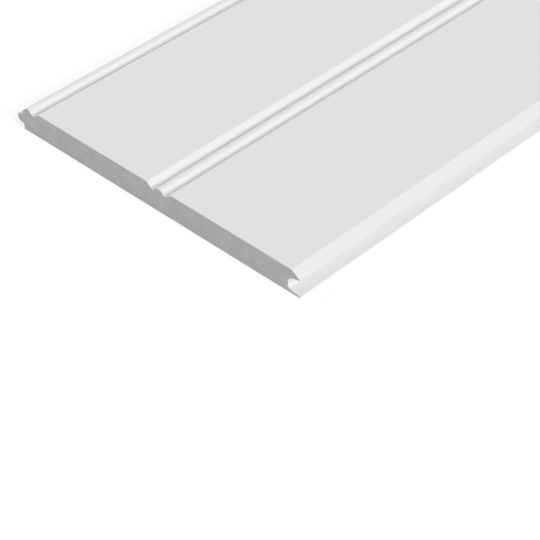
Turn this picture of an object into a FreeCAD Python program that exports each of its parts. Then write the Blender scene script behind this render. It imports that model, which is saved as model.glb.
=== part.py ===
"""Tongue and groove board with a bead on its edge and a bead down its middle.

One length of moulded panelling, lying on its plain back with the beaded face up. X runs across the
board from the tongue to the groove, Y runs along it and Z is up. The origin is the middle of the back.
"""
import FreeCAD, Part

import os

import Sketcher

# Driving sizes, in millimetres
SIZES = {
    "board_length": 812.8,       # a thirty-two inch wainscot plank
    "thickness": 9.525,          # three eighths of an inch
    "cover_width": 128.7,        # what one laid board covers, from the tongue's shoulder to the nose
    "tongue_reach": 2.7,         # how far the tongue stands out of its shoulder
    "tongue_thickness": 3.7,
    "tongue_clearance": 0.85,    # between the top of the tongue and the mouth of the next board's groove
    "groove_spare": 2.2,         # how much deeper the groove is than the tongue is long
    "roof_fall": 1.2,            # how much lower the groove's roof is at its back than at its mouth
    "roof_radius": 2.5,          # hollow between the groove's roof and its back
    "floor_radius": 1.3,         # hollow between the groove's back and the lip
    "lip_overhang": 0.35,        # how far the lower lip stands out past the nose
    "lip_root": 1.5,             # thickness of the lower lip where it leaves the board
    "lip_tip": 0.55,             # thickness of the lower lip at its end
    "lip_lead": 0.2,             # round on the lip's upper corner, which leads the tongue in
    "nose_bevel_width": 3.4,     # bevel that falls from the face to the nose
    "nose_bevel_depth": 2.3,
    "nose_land": 0.4,            # blunt end of the nose, below the bevel
    "vee_width": 2.9,            # bevel that falls from the face to the near foot of each bead
    "vee_depth": 2.2,
    "bead_width": 5.35,          # from foot to foot of a bead
    "bead_radius": 2.15,         # round of its crest
    "bead_drop": 0.3,            # how far the crest lies below the face
    "quirk_width": 3.0,          # bevel that climbs back from the far foot to the face
    "quirk_depth": 2.3,
    "face_arris": 0.4,           # easing where the bevels meet the face
    "back_relief": 0.4,          # lean of the shoulder below the tongue, so that the faces close first
    "back_arris": 0.2,           # easing of the two rear edges
}


def add_sheet(doc):
    """Put the driving sizes into a spreadsheet, one named cell to a row."""
    sheet = doc.addObject("Spreadsheet::Sheet", "sizes")
    for row, (name, value) in enumerate(SIZES.items(), start=1):
        sheet.set(f"A{row}", name)
        sheet.set(f"B{row}", str(value))
        sheet.setAlias(f"B{row}", name)
    doc.recompute()
    return sheet


def section_sketch(body, name):
    """Start a sketch on the body's plane across the board: sketch x is X and sketch y is Z."""
    sketch = body.newObject("Sketcher::SketchObject", name)
    plane = next(item for item in body.Origin.OriginFeatures if item.Role == "XZ_Plane")
    sketch.AttachmentSupport = [(plane, "")]
    sketch.MapMode = "FlatFace"
    return sketch


def pin(sketch, geometry, vertex, x, y):
    """Hold one vertex of a sketch at a place given by two expressions."""
    for kind, expression in (("DistanceX", x), ("DistanceY", y)):
        point = sketch.getPoint(geometry, vertex)
        start = point.x if kind == "DistanceX" else point.y
        index = sketch.addConstraint(Sketcher.Constraint(kind, -1, 1, geometry, vertex, start))
        sketch.setExpression(f"Constraints[{index}]", expression)


def join_ends(sketch, pairs):
    """Join the end of one piece of an outline to the start of another."""
    for (first, first_vertex), (second, second_vertex) in pairs:
        sketch.addConstraint(Sketcher.Constraint("Coincident", first, first_vertex, second, second_vertex))


def add_polygon(sketch, corners, value):
    """Draw a closed outline of straight lines whose corners are pairs of expressions."""
    places = [FreeCAD.Vector(value(x), value(y), 0) for x, y in corners]
    count = len(places)
    for index in range(count):
        sketch.addGeometry(Part.LineSegment(places[index], places[(index + 1) % count]), False)
    join_ends(sketch, [((index, 2), ((index + 1) % count, 1)) for index in range(count)])
    for index, (x, y) in enumerate(corners):
        pin(sketch, index, 1, x, y)


def along_the_board(feature):
    """Run a pad or a pocket half the board's length to each side of the middle."""
    feature.SideType = "Symmetric"
    feature.setExpression("Length", "sizes.board_length")


# Places that several outlines share, as expressions on the sheet
NOSE_UNDERSIDE = "(sizes.thickness - sizes.nose_bevel_depth - sizes.nose_land)"
TONGUE_TOP = f"({NOSE_UNDERSIDE} - sizes.tongue_clearance)"
TONGUE_BOTTOM = f"({TONGUE_TOP} - sizes.tongue_thickness)"
GROOVE_BACK = "(sizes.cover_width - sizes.tongue_reach - sizes.groove_spare)"
ROOF_AT_BACK = f"({NOSE_UNDERSIDE} - sizes.roof_fall)"
LIP_END = "(sizes.cover_width + sizes.lip_overhang)"
# The middle bead stands where it leaves two flats of the same width
MIDDLE_FOOT = "((sizes.cover_width - sizes.nose_bevel_width + sizes.vee_width) / 2)"
BEAD_CENTRE_HEIGHT = "(sizes.thickness - sizes.bead_drop - sizes.bead_radius)"
# The two rounds at the end of the lip leave some of it straight between them
LIP_ROUND_LIMIT = "sizes.lip_tip * 0.45"

# How near, in millimetres, an edge lies to the section point that names it
EDGE_REACH = 0.01
# Where the flanks meet the crest before the tangents are solved, as a share of its radius
FIRST_GUESS = 0.7


def add_blank(doc, body, value):
    """Make the blank, from the tongue's shoulder to the lip's end, the shoulder leaning in at the rear."""
    sketch = section_sketch(body, "blank_section")
    add_polygon(sketch, [
        ("sizes.back_relief", "0 mm"),
        (LIP_END, "0 mm"),
        (LIP_END, "sizes.thickness"),
        ("0 mm", "sizes.thickness"),
        ("0 mm", TONGUE_BOTTOM),
    ], value)
    blank = body.newObject("PartDesign::Pad", "blank")
    blank.Profile = sketch
    along_the_board(blank)
    doc.recompute()
    return blank


def add_beads(doc, body, value):
    """Cut the quirk and bead on the tongue's edge, then again with their bevel down the middle."""
    sketch = section_sketch(body, "bead_section")
    top = value("sizes.thickness")
    near_depth = value("sizes.vee_depth")
    far_depth = value("sizes.quirk_depth")
    half = value("sizes.bead_width / 2")
    radius = value("sizes.bead_radius")
    middle = FreeCAD.Vector(half, value(BEAD_CENTRE_HEIGHT), 0)
    spread = radius * FIRST_GUESS
    left = FreeCAD.Vector(middle.x - spread, middle.y + spread, 0)
    right = FreeCAD.Vector(middle.x + spread, middle.y + spread, 0)
    crest = FreeCAD.Vector(middle.x, middle.y + radius, 0)
    start = FreeCAD.Vector(-value("sizes.vee_width"), top, 0)
    near_foot = FreeCAD.Vector(0, top - near_depth, 0)
    far_foot = FreeCAD.Vector(2 * half, top - far_depth, 0)
    finish = FreeCAD.Vector(2 * half + value("sizes.quirk_width"), top, 0)
    bevel = sketch.addGeometry(Part.LineSegment(start, near_foot), False)
    near_flank = sketch.addGeometry(Part.LineSegment(near_foot, left), False)
    round_top = sketch.addGeometry(Part.Arc(left, crest, right), False)
    far_flank = sketch.addGeometry(Part.LineSegment(right, far_foot), False)
    quirk = sketch.addGeometry(Part.LineSegment(far_foot, finish), False)
    face = sketch.addGeometry(Part.LineSegment(finish, start), False)
    join_ends(sketch, [
        ((bevel, 2), (near_flank, 1)),
        ((far_flank, 2), (quirk, 1)),
        ((quirk, 2), (face, 1)),
        ((face, 2), (bevel, 1)),
    ])
    # The arc runs anticlockwise, so it starts on the far flank and ends on the near one
    sketch.addConstraint(Sketcher.Constraint("Tangent", near_flank, 2, round_top, 2))
    sketch.addConstraint(Sketcher.Constraint("Tangent", far_flank, 1, round_top, 1))
    rounding = sketch.addConstraint(Sketcher.Constraint("Radius", round_top, radius))
    sketch.setExpression(f"Constraints[{rounding}]", "min(sizes.bead_radius; sizes.bead_width / 2)")
    pin(sketch, round_top, 3, "sizes.bead_width / 2", BEAD_CENTRE_HEIGHT)
    pin(sketch, bevel, 1, "-sizes.vee_width", "sizes.thickness")
    pin(sketch, bevel, 2, "0 mm", "sizes.thickness - sizes.vee_depth")
    pin(sketch, quirk, 1, "sizes.bead_width", "sizes.thickness - sizes.quirk_depth")
    pin(sketch, quirk, 2, "sizes.bead_width + sizes.quirk_width", "sizes.thickness")
    cut = body.newObject("PartDesign::Pocket", "edge_bead")
    cut.Profile = sketch
    along_the_board(cut)
    doc.recompute()
    centre = body.newObject("PartDesign::LinearPattern", "centre_bead")
    centre.Originals = [cut]
    centre.Direction = (sketch, ["H_Axis"])
    centre.setExpression("Length", MIDDLE_FOOT)
    centre.Occurrences = 2
    body.Tip = centre
    doc.recompute()
    return centre


def add_tongue(doc, body, value):
    """Run the round-ended tongue along the low shoulder."""
    sketch = section_sketch(body, "tongue_section")
    low = value(TONGUE_BOTTOM)
    high = value(TONGUE_TOP)
    radius = (high - low) / 2
    middle = (high + low) / 2
    end = -value("sizes.tongue_reach") + radius
    inside = radius
    low_root = FreeCAD.Vector(inside, low, 0)
    high_root = FreeCAD.Vector(inside, high, 0)
    low_end = FreeCAD.Vector(end, low, 0)
    high_end = FreeCAD.Vector(end, high, 0)
    tip = FreeCAD.Vector(end - radius, middle, 0)
    bottom = sketch.addGeometry(Part.LineSegment(low_root, low_end), False)
    nose = sketch.addGeometry(Part.Arc(high_end, tip, low_end), False)
    top = sketch.addGeometry(Part.LineSegment(high_end, high_root), False)
    root = sketch.addGeometry(Part.LineSegment(high_root, low_root), False)
    join_ends(sketch, [((top, 2), (root, 1)), ((root, 2), (bottom, 1))])
    sketch.addConstraint(Sketcher.Constraint("Tangent", bottom, 2, nose, 2))
    sketch.addConstraint(Sketcher.Constraint("Tangent", top, 1, nose, 1))
    half = "sizes.tongue_thickness / 2"
    pin(sketch, nose, 3, f"{half} - sizes.tongue_reach", f"{TONGUE_TOP} - {half}")
    pin(sketch, bottom, 1, half, TONGUE_BOTTOM)
    pin(sketch, top, 2, half, TONGUE_TOP)
    tongue = body.newObject("PartDesign::Pad", "tongue")
    tongue.Profile = sketch
    along_the_board(tongue)
    doc.recompute()
    return tongue


def add_groove(doc, body, value):
    """Plough the groove over its thin lip, with a sloping roof, and bevel the nose above it."""
    sketch = section_sketch(body, "groove_section")
    add_polygon(sketch, [
        (GROOVE_BACK, "sizes.lip_root"),
        (LIP_END, "sizes.lip_tip"),
        (f"{LIP_END} + sizes.tongue_reach", "sizes.lip_tip"),
        (f"{LIP_END} + sizes.tongue_reach", "sizes.thickness"),
        ("sizes.cover_width - sizes.nose_bevel_width", "sizes.thickness"),
        ("sizes.cover_width", "sizes.thickness - sizes.nose_bevel_depth"),
        ("sizes.cover_width", NOSE_UNDERSIDE),
        (GROOVE_BACK, ROOF_AT_BACK),
    ], value)
    groove = body.newObject("PartDesign::Pocket", "groove")
    groove.Profile = sketch
    along_the_board(groove)
    doc.recompute()
    return groove


def long_edges(shape, places):
    """Find the edges that run the board's whole length through the given section points."""
    names = []
    for x, z in places:
        for number, edge in enumerate(shape.Edges, start=1):
            start, end = edge.Vertexes[0].Point, edge.Vertexes[-1].Point
            runs_along = abs(start.y - end.y) > EDGE_REACH
            if runs_along and abs(start.x - x) < EDGE_REACH and abs(start.z - z) < EDGE_REACH:
                names.append(f"Edge{number}")
    return names


def round_edges(doc, body, base, name, places, radius):
    """Round the long edges that pass through the given section points."""
    fillet = body.newObject("PartDesign::Fillet", name)
    fillet.Base = (base, long_edges(base.Shape, places))
    fillet.setExpression("Radius", radius)
    doc.recompute()
    return fillet


def build_board(doc, sheet):
    """Build the board feature by feature, in the order in which a moulder would cut it."""
    body = doc.addObject("PartDesign::Body", "board")
    body.Label = "board"

    def value(expression):
        return float(sheet.evalExpression(expression.replace("sizes.", "")))

    blank = add_blank(doc, body, value)
    beads = add_beads(doc, body, value)
    tongue = add_tongue(doc, body, value)
    groove = add_groove(doc, body, value)
    face = value("sizes.thickness")
    bevel_tops = [(value(place), face) for place in (
        "sizes.bead_width + sizes.quirk_width",
        f"{MIDDLE_FOOT} - sizes.vee_width",
        f"{MIDDLE_FOOT} + sizes.bead_width + sizes.quirk_width",
        "sizes.cover_width - sizes.nose_bevel_width",
    )]
    eased_face = round_edges(doc, body, groove, "face_arrises", bevel_tops, "sizes.face_arris")
    roof = round_edges(doc, body, eased_face, "roof_hollow",
                       [(value(GROOVE_BACK), value(ROOF_AT_BACK))], "sizes.roof_radius")
    floor = round_edges(doc, body, roof, "floor_hollow",
                        [(value(GROOVE_BACK), value("sizes.lip_root"))], "sizes.floor_radius")
    lead = round_edges(doc, body, floor, "lip_lead_in",
                       [(value(LIP_END), value("sizes.lip_tip"))],
                       f"min(sizes.lip_lead; {LIP_ROUND_LIMIT})")
    rear = [(value("sizes.back_relief"), 0.0), (value(LIP_END), 0.0)]
    eased = round_edges(doc, body, lead, "rear_arrises", rear,
                        f"min(sizes.back_arris; {LIP_ROUND_LIMIT})")
    body.Tip = eased
    body.setExpression("Placement.Base.x", f"(sizes.tongue_reach - {LIP_END}) / 2")
    doc.recompute()
    volumes = [step.Shape.Volume for step in (blank, beads, tongue, groove, eased_face)]
    if not volumes[0] > volumes[1] < volumes[2] > volumes[3] > volumes[4]:
        raise RuntimeError("a cut or the tongue changed nothing")
    return body


def check(doc, parts):
    """Stop where any object of the document has failed or a part is empty or broken."""
    for item in doc.Objects:
        if "Invalid" in item.State or "Error" in item.State:
            raise RuntimeError(f"{item.Label} failed: {item.State}")
    for part in parts:
        shape = part.Shape
        if shape.isNull() or not shape.isValid() or len(shape.Solids) != 1:
            raise RuntimeError(f"{part.Label} is not one sound solid")
        box = shape.BoundBox
        print(part.Label, "solids", len(shape.Solids), "volume", round(shape.Volume, 1))
        print("  x", round(box.XMin, 4), round(box.XMax, 4), "y", round(box.YMin, 3), round(box.YMax, 3),
              "z", round(box.ZMin, 4), round(box.ZMax, 4))


doc = FreeCAD.newDocument("tongue_and_groove_board")
sheet = add_sheet(doc)
parts = [build_board(doc, sheet)]
check(doc, parts)
os.makedirs("parts", exist_ok=True)
for part in parts:
    part.Shape.exportStep(f"parts/{part.Label}.step")
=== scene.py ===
"""Looks of a white beaded tongue and groove board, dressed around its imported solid.

The board is one length of moulded stock, so the scene holds one piece. Its section is drawn once, with
every arris eased, and carried along the board to its two sawn ends. Three broad lamps light it from its
sides: a low one and a high one on the groove's side, and a low one on the tongue's. An even pale sky fills
the rest, and a pale floor takes the shadow.
"""
import logging
import math
from dataclasses import dataclass, field
from enum import Enum

import bpy
import numpy as np
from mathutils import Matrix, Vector


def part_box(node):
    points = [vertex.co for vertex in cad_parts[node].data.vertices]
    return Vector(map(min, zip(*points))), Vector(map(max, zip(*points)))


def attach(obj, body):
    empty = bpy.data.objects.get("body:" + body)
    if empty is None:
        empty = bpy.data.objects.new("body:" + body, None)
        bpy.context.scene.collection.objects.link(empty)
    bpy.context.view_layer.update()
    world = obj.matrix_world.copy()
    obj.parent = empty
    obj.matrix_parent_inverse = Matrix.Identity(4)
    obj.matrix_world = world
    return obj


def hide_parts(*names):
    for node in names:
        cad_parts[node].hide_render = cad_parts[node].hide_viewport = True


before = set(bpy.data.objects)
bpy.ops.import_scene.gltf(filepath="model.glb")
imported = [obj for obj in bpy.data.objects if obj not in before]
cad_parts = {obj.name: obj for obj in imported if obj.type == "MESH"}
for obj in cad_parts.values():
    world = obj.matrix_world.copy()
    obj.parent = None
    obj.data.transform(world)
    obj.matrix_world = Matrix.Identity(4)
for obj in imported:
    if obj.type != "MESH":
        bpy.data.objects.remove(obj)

Colour = tuple[float, float, float, float]
Waves = tuple[float, float, float]

MM = 0.001
# The wave texture's phase is 10 times the sum of the scaled coordinates. Across the sawn end that sum grows
# by the root of 2 for each metre on the slant, so at a scale of 1 one wave is this many metres long there.
DIAGONAL_WAVE = math.pi / (5 * math.sqrt(2))
# Name of the imported solid, which the new mesh takes too
NODE = "board"
LOG = logging.getLogger("board")


class Surface(Enum):
    """The two ways in which the board's faces were made, numbered as its materials are."""

    MOULDED = 0
    SAWN = 1


class Shape(Enum):
    """How the outline turns at a corner, going round with the stock on the left."""

    CONVEX = 1.0
    HOLLOW = -1.0


@dataclass(frozen=True)
class Corner:
    """One corner of the section.

    Args:
        x: Place across the board, from the tongue's shoulder, in millimetres.
        z: Height above the back, in millimetres.
        radius: Radius of its round, in millimetres.
    """

    x: float
    z: float
    radius: float


@dataclass(frozen=True)
class Outline:
    """A closed section as arrays, in metres, anticlockwise seen from the near end.

    Args:
        points: Places (x, z), one row to a point.
        normals: Outward directions (x, z) at those points.
    """

    points: np.ndarray
    normals: np.ndarray


@dataclass(frozen=True)
class Section:
    """The board's moulded section, in millimetres: the solid's sizes, and finer easings of its arrises."""

    thickness: float = 9.525
    cover_width: float = 128.7        # from the tongue's shoulder to the nose
    tongue_reach: float = 2.7         # how far the tongue stands out of its shoulder
    tongue_thickness: float = 3.7
    tongue_fullness: float = 0.97     # how near the tongue's two rounds come to one half circle
    tongue_clearance: float = 0.85    # between the tongue's top and the mouth of the next board's groove
    groove_spare: float = 2.2         # how much deeper the groove is than the tongue is long
    roof_fall: float = 1.2            # how much lower the groove's roof is at its back than at its mouth
    roof_radius: float = 2.5          # hollow between the groove's roof and its back
    floor_radius: float = 1.3         # hollow between the groove's back and the lip
    lip_overhang: float = 0.35        # how far the lower lip stands out past the nose
    lip_root: float = 1.5             # thickness of the lip where it leaves the board
    lip_tip: float = 0.55             # thickness of the lip at its end
    lip_lead: float = 0.2             # round on the lip's upper corner
    nose_bevel_width: float = 3.4     # bevel that falls from the face to the nose
    nose_bevel_depth: float = 2.3
    nose_land: float = 0.4            # blunt end of the nose, below the bevel
    vee_width: float = 2.9            # bevel that falls from the face to a bead's foot on the tongue's side
    vee_depth: float = 2.2
    vee_round: float = 0.3            # easing of that foot
    bead_width: float = 5.35          # from foot to foot of a bead
    bead_radius: float = 2.15         # round of its crest
    bead_drop: float = 0.3            # how far the crest lies below the face
    quirk_width: float = 3.0          # bevel that climbs back from a bead's other foot to the face
    quirk_depth: float = 2.3
    face_arris: float = 0.4           # easing where the bevels meet the face
    back_relief: float = 0.4          # lean of the shoulder below the tongue
    back_arris: float = 0.2           # easing of the two rear edges
    fine_arris: float = 0.1           # easing of every other arris and inner corner
    steps: int = 20                   # faces on each round
    hold: float = 0.04                # how far beyond each round a point holds the flat beside it

    def flank_slope(self, depth: float) -> float:
        """Slope of a bead's flank.

        The flank leaves its foot and touches the crest's circle, so it leans from the line to the circle's
        centre by the angle whose sine is the radius over that line's length.

        Args:
            depth: Depth of the flank's foot below the face.

        Returns:
            Rise over run of the flank.
        """
        run = self.bead_width / 2
        rise = depth - self.bead_drop - self.bead_radius
        reach = math.hypot(run, rise)
        return math.tan(math.atan2(rise, run) + math.asin(min(1.0, self.bead_radius / reach)))

    def bead_corners(self, foot: float) -> list[Corner]:
        """Corners of the bevel, bead and quirk, from the quirk back to the bevel.

        The crest's corner is where the lines of the two flanks meet. Its run from the foot is the bead's
        width times the quirk's slope, plus the bevel's depth less the quirk's, over the sum of both slopes.

        Args:
            foot: Place across the board of the bead's foot on the tongue's side.

        Returns:
            The corners, anticlockwise.
        """
        rise = self.flank_slope(self.vee_depth)
        fall = self.flank_slope(self.quirk_depth)
        apex = (self.bead_width * fall + self.vee_depth - self.quirk_depth) / (rise + fall)
        face = self.thickness
        return [
            Corner(foot + self.bead_width + self.quirk_width, face, self.face_arris),
            Corner(foot + self.bead_width, face - self.quirk_depth, self.fine_arris),
            Corner(foot + apex, face - self.vee_depth + apex * rise, self.bead_radius),
            Corner(foot, face - self.vee_depth, self.vee_round),
            Corner(foot - self.vee_width, face, self.face_arris),
        ]

    def corners(self) -> list[Corner]:
        """List every corner of the section.

        Both beads are the same, and the edge bead's own bevel is left out, because its foot stands on the
        shoulder. The middle bead stands where it leaves two flats of the same width.

        Returns:
            The corners, anticlockwise from the rear edge on the tongue's side.
        """
        lip_end = self.cover_width + self.lip_overhang
        nose_foot = self.thickness - self.nose_bevel_depth
        underside = nose_foot - self.nose_land
        middle_foot = (self.cover_width - self.nose_bevel_width + self.vee_width) / 2
        tongue_top = underside - self.tongue_clearance
        tongue_low = tongue_top - self.tongue_thickness
        tongue_round = self.tongue_thickness / 2 * self.tongue_fullness
        back = self.cover_width - self.tongue_reach - self.groove_spare
        return [
            Corner(self.back_relief, 0.0, self.back_arris),
            Corner(lip_end, 0.0, self.back_arris),
            Corner(lip_end, self.lip_tip, self.lip_lead),
            Corner(back, self.lip_root, self.floor_radius),
            Corner(back, underside - self.roof_fall, self.roof_radius),
            Corner(self.cover_width, underside, self.fine_arris),
            Corner(self.cover_width, nose_foot, self.fine_arris),
            Corner(self.cover_width - self.nose_bevel_width, self.thickness, self.face_arris),
            *self.bead_corners(middle_foot),
            *self.bead_corners(0.0)[:-1],
            Corner(0.0, tongue_top, self.fine_arris),
            Corner(-self.tongue_reach, tongue_top, tongue_round),
            Corner(-self.tongue_reach, tongue_low, tongue_round),
            Corner(0.0, tongue_low, self.fine_arris),
        ]

    def outline(self) -> Outline:
        """Round every corner at once.

        At each corner, u and v are the unit directions to its neighbours. The round's centre lies along
        u + v, at the radius over the sine of the half angle, and the round is swept about that centre from
        the foot of the perpendicular on one side to that on the other. One held point before and one after
        each round keep the flats flat when the mesh is shaded smooth.

        Returns:
            The rounded outline, with its origin in the middle of the whole width.
        """
        corners = self.corners()
        place = np.array([(c.x, c.z) for c in corners])
        radius = np.array([c.radius for c in corners])
        before = np.roll(place, 1, axis=0) - place
        after = np.roll(place, -1, axis=0) - place
        before /= np.linalg.norm(before, axis=1, keepdims=True)
        after /= np.linalg.norm(after, axis=1, keepdims=True)
        half = np.arccos(np.clip((before * after).sum(axis=1), -1, 1)) / 2
        turn = before[:, 1] * after[:, 0] - before[:, 0] * after[:, 1]
        side = np.where(turn > 0, Shape.CONVEX.value, Shape.HOLLOW.value)
        middle = before + after
        middle /= np.linalg.norm(middle, axis=1, keepdims=True)
        centre = place + middle * (radius / np.sin(half))[:, None]
        start = centre - place - before * (radius / np.tan(half))[:, None]
        first = np.arctan2(-start[:, 1], -start[:, 0])
        sweep = side * (math.pi - 2 * half)
        angle = first[:, None] + sweep[:, None] * np.linspace(0.0, 1.0, self.steps + 1)
        ray = np.stack([np.cos(angle), np.sin(angle)], axis=-1)
        arc = centre[:, None] + radius[:, None, None] * ray
        held_before = arc[:, :1] + before[:, None] * self.hold
        held_after = arc[:, -1:] + after[:, None] * self.hold
        points = np.concatenate([held_before, arc, held_after], axis=1).reshape(-1, 2)
        outward = ray * side[:, None, None]
        normals = np.concatenate([outward[:, :1], outward, outward[:, -1:]], axis=1).reshape(-1, 2)
        points[:, 0] += (self.tongue_reach - self.cover_width - self.lip_overhang) / 2
        return Outline(points * MM, normals)


class Value:
    """A shader socket that takes part in plain sums: each operator adds its Math node."""

    def __init__(self, nodes: "Nodes", socket: bpy.types.NodeSocket) -> None:
        """Keep the socket and the tree that it belongs to."""
        self.nodes = nodes
        self.socket = socket

    def _math(self, operation: str, *terms: object) -> "Value":
        """Add one Math node and return its result."""
        return self.nodes.add("ShaderNodeMath", {"operation": operation}, dict(enumerate(terms)))

    def __add__(self, other: object) -> "Value":
        """Sum of this value and another."""
        return self._math("ADD", self, other)

    __radd__ = __add__

    def __sub__(self, other: object) -> "Value":
        """This value less another."""
        return self._math("SUBTRACT", self, other)

    def __rsub__(self, other: object) -> "Value":
        """Another value less this one."""
        return self._math("SUBTRACT", other, self)

    def __mul__(self, other: object) -> "Value":
        """Product of this value and another."""
        return self._math("MULTIPLY", self, other)

    __rmul__ = __mul__

    def clipped(self) -> "Value":
        """This value held between 0 and 1."""
        return self._math("MINIMUM", self._math("MAXIMUM", self, 0.0), 1.0)

    def spread(self, contrast: float) -> "Value":
        """This value drawn away from a half by a contrast, and held between 0 and 1."""
        return (self * contrast - (contrast - 1) / 2).clipped()


class Nodes:
    """The node tree of one material or of the world, added to node by node."""

    def __init__(self, tree: bpy.types.NodeTree) -> None:
        """Start from an empty tree."""
        self.tree = tree
        tree.nodes.clear()

    def add(self, kind: str, settings: dict[str, object] | None = None,
            inputs: dict[int | str, object] | None = None, output: int | str = 0) -> Value:
        """Add a node.

        Args:
            kind: The node's type.
            settings: Properties that are set before its sockets are.
            inputs: Values or links of its sockets, by name or number.
            output: Which of its outputs to return.

        Returns:
            The chosen output.
        """
        node = self.tree.nodes.new(kind)
        for name, setting in (settings or {}).items():
            setattr(node, name, setting)
        for name, given in (inputs or {}).items():
            if isinstance(given, Value):
                self.tree.links.new(given.socket, node.inputs[name])
            else:
                node.inputs[name].default_value = given
        socket = node.outputs[output] if node.outputs else None
        return Value(self, socket)

    def place(self) -> Value:
        """Where on the piece a point lies, in metres."""
        return self.add("ShaderNodeTexCoord", output="Object")

    def scaled(self, place: Value, waves: Waves) -> Value:
        """A place scaled along each axis, on which a pattern has that many waves to the metre."""
        return self.add("ShaderNodeVectorMath", {"operation": "MULTIPLY"}, {0: place, 1: waves})

    def noise(self, place: Value, detail: float, waves: float = 1.0) -> Value:
        """Noise from 0 to 1 about a half, with finer layers as its detail grows."""
        return self.add("ShaderNodeTexNoise", {"noise_dimensions": "3D"},
                        {"Vector": place, "Scale": waves, "Detail": detail}, "Fac")

    def tinted(self, share: Value, low: Colour, high: Colour) -> Value:
        """A colour between two others."""
        return self.add("ShaderNodeMix", {"data_type": "RGBA"}, {0: share, 6: low, 7: high}, 2)

    def bump(self, height: Value, depth: float, under: Value | None = None) -> Value:
        """Bump a surface.

        Args:
            height: The relief, from 0 to 1.
            depth: How deep the relief is, in metres.
            under: A coarser bumped normal that it lies on.

        Returns:
            The bumped normal.
        """
        inputs = {"Height": height, "Distance": depth, "Strength": 1.0}
        if under is not None:
            inputs["Normal"] = under
        return self.add("ShaderNodeBump", None, inputs)

    def plastic(self, colour: Value, rough: Value, normal: Value) -> None:
        """End the tree in one plain plastic surface.

        Args:
            colour: Its colour.
            rough: Its roughness.
            normal: Its bumped normal.
        """
        shader = self.add("ShaderNodeBsdfPrincipled", None,
                          {"Base Color": colour, "Roughness": rough, "Normal": normal})
        self.add("ShaderNodeOutputMaterial", None, {"Surface": shader})


def grey(level: float) -> Colour:
    """A neutral colour."""
    return (level, level, level, 1.0)


def new_material(name: str) -> tuple[bpy.types.Material, Nodes]:
    """Start a material.

    Args:
        name: Its name.

    Returns:
        The material, and its tree with nothing in it.
    """
    material = bpy.data.materials.new(name)
    material.use_nodes = True
    return material, Nodes(material.node_tree)


def add_object(name: str, data: bpy.types.ID) -> bpy.types.Object:
    """Put a mesh, a light or a camera into the scene.

    Args:
        name: The object's name.
        data: What it holds.

    Returns:
        The object, at the origin.
    """
    thing = bpy.data.objects.new(name, data)
    bpy.context.scene.collection.objects.link(thing)
    return thing


@dataclass(frozen=True)
class MouldedWhite:
    """Smooth matte white of the moulded faces, with the faint lines that the moulding leaves along them."""

    low: Colour = (0.825, 0.826, 0.828, 1.0)     # the tint's darkest
    high: Colour = (0.865, 0.866, 0.867, 1.0)    # and its lightest
    roughness: float = 0.6
    drift_waves: Waves = (9.0, 2.0, 9.0)         # slow drift of the tint, longest along the board
    drift_detail: float = 4.0
    drift_contrast: float = 1.6
    drift_gloss: float = 0.10                    # how far the roughness follows the drift
    line_waves: Waves = (1400.0, 2.5, 1400.0)    # fine lines along the board
    line_detail: float = 2.0
    line_gloss: float = 0.08                     # how far the roughness follows the lines
    line_depth: float = 0.012 * MM
    grain_waves: float = 2600.0                  # fine grain in the gloss
    grain_detail: float = 2.0
    grain_depth: float = 0.004 * MM

    def build(self) -> bpy.types.Material:
        """Make the material.

        Returns:
            A plastic whose tint drifts a little, with lines along the board and a fine grain in its gloss.
        """
        material, nodes = new_material("moulded_white")
        place = nodes.place()
        drift = nodes.noise(nodes.scaled(place, self.drift_waves), self.drift_detail)
        lines = nodes.noise(nodes.scaled(place, self.line_waves), self.line_detail)
        grain = nodes.noise(place, self.grain_detail, self.grain_waves)
        colour = nodes.tinted(drift.spread(self.drift_contrast), self.low, self.high)
        rough = self.roughness + (drift - 0.5) * self.drift_gloss + (lines - 0.5) * self.line_gloss
        normal = nodes.bump(grain, self.grain_depth, nodes.bump(lines, self.line_depth))
        nodes.plastic(colour, rough, normal)
        return material


@dataclass(frozen=True)
class SawnWhite:
    """The sawn ends: the same white cut across, with fine closed cells and the saw's faint marks."""

    low: Colour = (0.715, 0.717, 0.72, 1.0)      # the tint's darkest
    high: Colour = (0.905, 0.906, 0.908, 1.0)    # and its lightest
    roughness: float = 0.72
    cloud_waves: float = 260.0        # soft clouds in the tint
    cloud_detail: float = 4.0
    cloud_share: float = 1.3          # what the clouds add to the tint
    cells_per_metre: float = 2600.0
    cell_share: float = 0.7           # what the cells add to the tint
    tint_shift: float = 0.48          # what is taken off both, so that the tint lies about midway
    cell_gloss: float = 0.12          # how far the roughness follows the cells
    cell_depth: float = 0.02 * MM
    mark_pitch: float = 1.8 * MM      # from one of the saw's marks to the next, on the slant
    mark_waver: float = 2.0           # how unevenly the marks run
    mark_detail: float = 2.0
    mark_depth: float = 0.015 * MM

    def build(self) -> bpy.types.Material:
        """Make the material.

        Returns:
            A rougher white with fine cells, and saw marks that cross the end on a slant.
        """
        material, nodes = new_material("sawn_white")
        place = nodes.place()
        cells = nodes.add("ShaderNodeTexVoronoi", {"feature": "F1"},
                          {"Vector": place, "Scale": self.cells_per_metre}, "Distance")
        cloud = nodes.noise(place, self.cloud_detail, self.cloud_waves)
        marks = nodes.add("ShaderNodeTexWave", {"wave_type": "BANDS", "bands_direction": "DIAGONAL"},
                          {"Vector": place, "Scale": DIAGONAL_WAVE / self.mark_pitch,
                           "Distortion": self.mark_waver, "Detail": self.mark_detail}, "Fac")
        tint = (cloud * self.cloud_share + cells * self.cell_share - self.tint_shift).clipped()
        colour = nodes.tinted(tint, self.low, self.high)
        rough = self.roughness + (cells - 0.5) * self.cell_gloss
        normal = nodes.bump(cells, self.cell_depth, nodes.bump(marks, self.mark_depth))
        nodes.plastic(colour, rough, normal)
        return material


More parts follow.
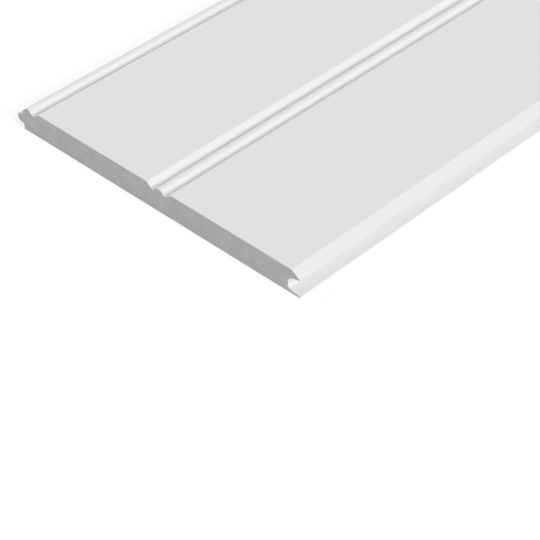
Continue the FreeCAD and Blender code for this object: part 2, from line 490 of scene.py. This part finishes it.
@dataclass(frozen=True)
class Board:
    """The whole board: its section carried along its length, eased at both sawn ends."""

    section: Section = field(default_factory=Section)
    end_ease: float = 0.08 * MM       # under the finest arris, which keeps a round of its own at the ends
    ease_steps: int = 4               # faces on the easing of an end
    station_pitch: float = 25 * MM    # about how far apart the stations between the ends are
    moulded: MouldedWhite = field(default_factory=MouldedWhite)
    sawn: SawnWhite = field(default_factory=SawnWhite)

    def stations(self, near: float, far: float) -> tuple[np.ndarray, np.ndarray]:
        """Places along the board and how far the section is drawn in at each.

        Near an end the section follows a quarter round of the ease's radius: at an angle a from the end it
        lies the radius times (1 - sin a) inside the end and is drawn in by the radius times (1 - cos a).

        Args:
            near: Where the near end is.
            far: Where the far end is.

        Returns:
            The places and the insets, one to a station.
        """
        angle = np.linspace(math.pi / 2, 0.0, self.ease_steps + 1)
        inward = self.end_ease * (1 - np.sin(angle))
        inset = self.end_ease * (1 - np.cos(angle))
        count = max(2, int((far - near) / self.station_pitch))
        along = np.linspace(near + 2 * self.end_ease, far - 2 * self.end_ease, count)
        places = np.concatenate([near + inward, along, far - inward[::-1]])
        insets = np.concatenate([inset, np.zeros(count), inset[::-1]])
        return places, insets

    def mesh(self, low: Vector, high: Vector) -> bpy.types.Mesh:
        """Carry the section along the board.

        A point is the outline's point less its outward normal times the station's inset, at the station's
        place along the board. The two ends are closed with one flat face each.

        Args:
            low: Lowest corner of the solid that the board stands for.
            high: Its highest corner.

        Returns:
            The closed mesh, its faces outward.
        """
        outline = self.section.outline()
        places, insets = self.stations(low.y, high.y)
        rings = outline.points[None] - outline.normals[None] * insets[:, None, None]
        # A point on the solid's box may lie past it in its last digit, so the box holds it
        rings[..., 0] = np.clip(rings[..., 0], low.x, high.x)
        rings[..., 1] = np.clip(rings[..., 1], low.z, high.z)
        stations, count = rings.shape[:2]
        along = np.broadcast_to(places[:, None], (stations, count))
        vertices = np.stack([rings[..., 0], along, rings[..., 1]], axis=-1).reshape(-1, 3)
        here = np.arange(stations * count).reshape(stations, count)
        beside = np.roll(here, -1, axis=1)
        sides = np.stack([here[:-1], here[1:], beside[1:], beside[:-1]], axis=-1).reshape(-1, 4)
        ends = [here[0].tolist(), here[-1][::-1].tolist()]
        mesh = bpy.data.meshes.new(NODE)
        mesh.from_pydata(vertices.tolist(), [], sides.tolist() + ends)
        made = np.repeat([Surface.MOULDED.value, Surface.SAWN.value], [len(sides), len(ends)])
        mesh.polygons.foreach_set("use_smooth", made == Surface.MOULDED.value)
        mesh.polygons.foreach_set("material_index", made.astype(np.int32))
        mesh.update()
        return mesh

    def build(self, low: Vector, high: Vector) -> bpy.types.Object:
        """Make the board in its solid's place and dress it.

        Args:
            low: Lowest corner of the solid.
            high: Its highest corner.

        Returns:
            The finished piece.
        """
        mesh = self.mesh(low, high)
        mesh.materials.append(self.moulded.build())
        mesh.materials.append(self.sawn.build())
        mesh.validate()
        piece = add_object("beaded_board", mesh)
        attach(piece, "root")
        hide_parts(NODE)
        return piece


@dataclass(frozen=True)
class Lamp:
    """A broad lamp far off to one side of the board, level with its middle.

    Args:
        name: Its name in the scene.
        elevation: Where it stands, in degrees: 0 is level on the groove's side, 90 is right above the
            board and 180 is level on the tongue's side.
        strength: What it gives to a surface that faces it, in watts to the square metre.
        spread: How wide it looks from the board, in degrees.
    """

    name: str
    elevation: float
    strength: float
    spread: float = 30.0

    def build(self) -> bpy.types.Object:
        """Hang the lamp.

        Returns:
            The lamp, which shines on the board from its side.
        """
        light = bpy.data.lights.new(self.name, "SUN")
        light.energy = self.strength
        light.angle = math.radians(self.spread)
        height = math.radians(self.elevation)
        toward = Vector((math.cos(height), 0.0, math.sin(height)))
        holder = add_object(self.name, light)
        holder.rotation_euler = toward.to_track_quat("Z", "Y").to_euler()
        return holder


@dataclass(frozen=True)
class Studio:
    """The floor, the sky and the lamps.

    Args:
        floor_reach: Half the floor's width, in metres.
        floor_bounce: How pale the floor is to the light that it throws back.
        floor_seen: How pale it is where it is looked at.
        floor_glow: What it gives of itself there, so that it looks white away from the board.
        sky_strength: What the sky gives to the board.
        backdrop: How bright the sky is where it is looked at: 1 is white.
        lamps: The lamps.
    """

    floor_reach: float = 30.0
    floor_bounce: float = 0.5
    floor_seen: float = 0.5
    floor_glow: float = 0.63
    sky_strength: float = 0.35
    backdrop: float = 1.0
    lamps: tuple[Lamp, ...] = (
        Lamp("key", elevation=24.0, strength=1.74),
        Lamp("high", elevation=56.0, strength=0.46),
        Lamp("fill", elevation=150.0, strength=1.02),
    )

    def seen_share(self, nodes: Nodes) -> Value:
        """Tell the rays that show the backdrop from those that only light the board.

        Args:
            nodes: The tree that asks.

        Returns:
            1 for the camera's own rays and for mirrored and passed-on ones, and 0 for the others.
        """
        kinds = ("Is Camera Ray", "Is Glossy Ray", "Is Transmission Ray")
        camera, mirrored, passed_on = (nodes.add("ShaderNodeLightPath", output=kind) for kind in kinds)
        return (camera + mirrored + passed_on).clipped()

    def build_floor(self, height: float) -> bpy.types.Object:
        """Lay the pale floor, which looks white away from the board and takes its shadow.

        Args:
            height: The level that the board lies on.

        Returns:
            The floor.
        """
        reach = self.floor_reach
        corners = [(-reach, -reach, height), (reach, -reach, height), (reach, reach, height),
                   (-reach, reach, height)]
        mesh = bpy.data.meshes.new("floor")
        mesh.from_pydata(corners, [], [(0, 1, 2, 3)])
        material, nodes = new_material("pale_floor")
        bounce = nodes.add("ShaderNodeBsdfDiffuse", None, {"Color": grey(self.floor_bounce)})
        seen = nodes.add("ShaderNodeBsdfDiffuse", None, {"Color": grey(self.floor_seen)})
        glow = nodes.add("ShaderNodeEmission", None, {"Color": grey(1.0), "Strength": self.floor_glow})
        shown = nodes.add("ShaderNodeAddShader", None, {0: seen, 1: glow})
        mixed = nodes.add("ShaderNodeMixShader", None, {0: self.seen_share(nodes), 1: bounce, 2: shown})
        nodes.add("ShaderNodeOutputMaterial", None, {"Surface": mixed})
        mesh.materials.append(material)
        floor = add_object("floor", mesh)
        return floor

    def build_sky(self) -> None:
        """Fill the scene with even light, behind which the backdrop shows white."""
        world = bpy.data.worlds.new("studio")
        world.use_nodes = True
        bpy.context.scene.world = world
        nodes = Nodes(world.node_tree)
        fill = nodes.add("ShaderNodeBackground", None, {"Color": grey(1.0), "Strength": self.sky_strength})
        white = nodes.add("ShaderNodeBackground", None, {"Color": grey(1.0), "Strength": self.backdrop})
        mixed = nodes.add("ShaderNodeMixShader", None, {0: self.seen_share(nodes), 1: fill, 2: white})
        nodes.add("ShaderNodeOutputWorld", None, {"Surface": mixed})

    def build(self, height: float) -> None:
        """Make the whole studio.

        Args:
            height: The level that the board lies on.
        """
        self.build_floor(height)
        self.build_sky()
        for lamp in self.lamps:
            lamp.build()


@dataclass(frozen=True)
class Viewpoint:
    """The photograph's camera, which isn't rolled to either side.

    Args:
        from_corner: From the board's near lower corner on the groove's side to the lens, in metres.
        pitch: How far it looks down, in radians.
        heading: How far it is turned to the left of the board's length, in radians.
        focal_length: Focal length of the lens, in pixels of the picture.
        frame_width: Width of the picture, in pixels.
        sensor: Width of the sensor, in millimetres.
        clip_end: How far it sees, in metres.
    """

    from_corner: tuple[float, float, float] = (0.29750, -0.32584, 0.38307)
    pitch: float = math.radians(40.108)
    heading: float = math.radians(43.600)
    focal_length: float = 1903.74
    frame_width: float = 540.0
    sensor: float = 36.0
    clip_end: float = 100.0

    def build(self, corner: Vector) -> bpy.types.Object:
        """Make the camera and give it to the scene.

        Args:
            corner: The near lower corner on the groove's side.

        Returns:
            The camera.
        """
        data = bpy.data.cameras.new("camera")
        data.sensor_width = self.sensor
        data.lens = self.sensor * self.focal_length / self.frame_width
        data.clip_end = self.clip_end
        camera = add_object("camera", data)
        camera.location = corner + Vector(self.from_corner)
        camera.rotation_euler = (math.pi / 2 - self.pitch, 0.0, self.heading)
        bpy.context.scene.camera = camera
        return camera


def main() -> None:
    """Build the board, the studio and the camera."""
    logging.basicConfig(level=logging.INFO, format="%(name)s: %(message)s")
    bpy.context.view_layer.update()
    low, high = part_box(NODE)
    piece = Board().build(low, high)
    LOG.info("%s: %d vertices, %d faces", piece.name, len(piece.data.vertices), len(piece.data.polygons))
    Studio().build(low.z)
    Viewpoint().build(Vector((high.x, low.y, low.z)))
    bpy.context.scene.view_settings.view_transform = "Standard"


if __name__ == "__main__":
    main()
